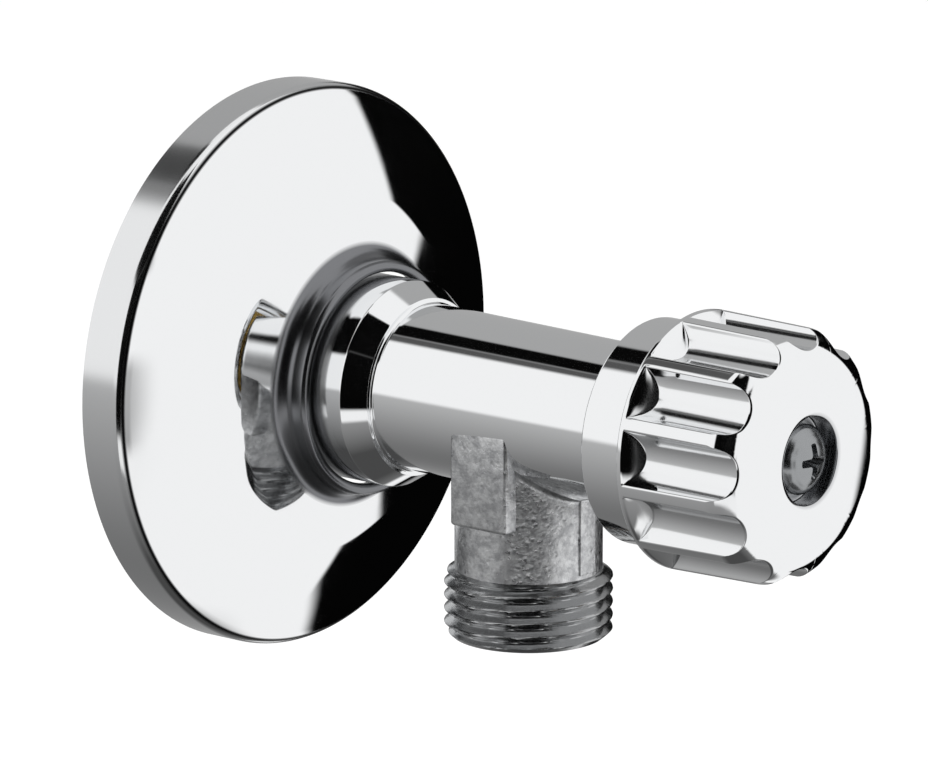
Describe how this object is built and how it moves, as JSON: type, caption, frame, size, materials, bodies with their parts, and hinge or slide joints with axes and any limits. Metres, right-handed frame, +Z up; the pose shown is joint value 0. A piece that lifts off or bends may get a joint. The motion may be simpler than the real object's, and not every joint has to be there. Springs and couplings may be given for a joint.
{
  "type": "angle stop valve",
  "caption": "Chromed wall-mounted angle stop valve: flange, horizontal body, threaded outlet pointing down, fluted handwheel turning the stop spindle.",
  "frame": {"origin": "centre of the wall flange's back face, on the valve's axis, where it meets the wall", "axes": "+X out of the wall along the valve's axis towards the handwheel, +Z up, the outlet points along -Z"},
  "size_m": [0.0799, 0.057, 0.057],
  "materials": {
    "chrome_plate": "polished plating on brass and zinc",
    "brass": "machined",
    "rubber": "matt",
    "plastic": "moulded, matt",
    "steel": "plain",
    "fibre": "pressed fibre sheet, matt"
  },
  "bodies": {
    "housing": {"wall_flange": "chrome_plate", "valve_body": "chrome_plate", "bonnet": "brass", "bonnet_gasket": "fibre"},
    "wheel": {"handwheel": "chrome_plate", "handwheel_insert": "plastic", "lock_washer": "steel", "handwheel_screw": "steel", "spindle": "brass", "spindle_orings": "rubber", "thrust_washer": "plastic", "spindle_clip": "steel"},
    "carrier": {"valve_carrier": "brass", "seat_washer": "rubber", "washer_plate": "brass", "washer_screw": "brass"}
  },
  "joints": [
    {"name": "wheel_turn", "type": "hinge", "parent": "housing", "child": "wheel", "pos_m": [0.0537, 0, 0], "axis": [1, 0, 0], "range_deg": [0, 1080]},
    {"name": "carrier_slide", "type": "slide", "parent": "housing", "child": "carrier", "axis": [1, 0, 0], "range_m": [0, 0.0046]}
  ],
  "couplings": [
    {"joint": "carrier_slide", "follows": "wheel_turn", "m_per_rad": 0.00023873}
  ]
}
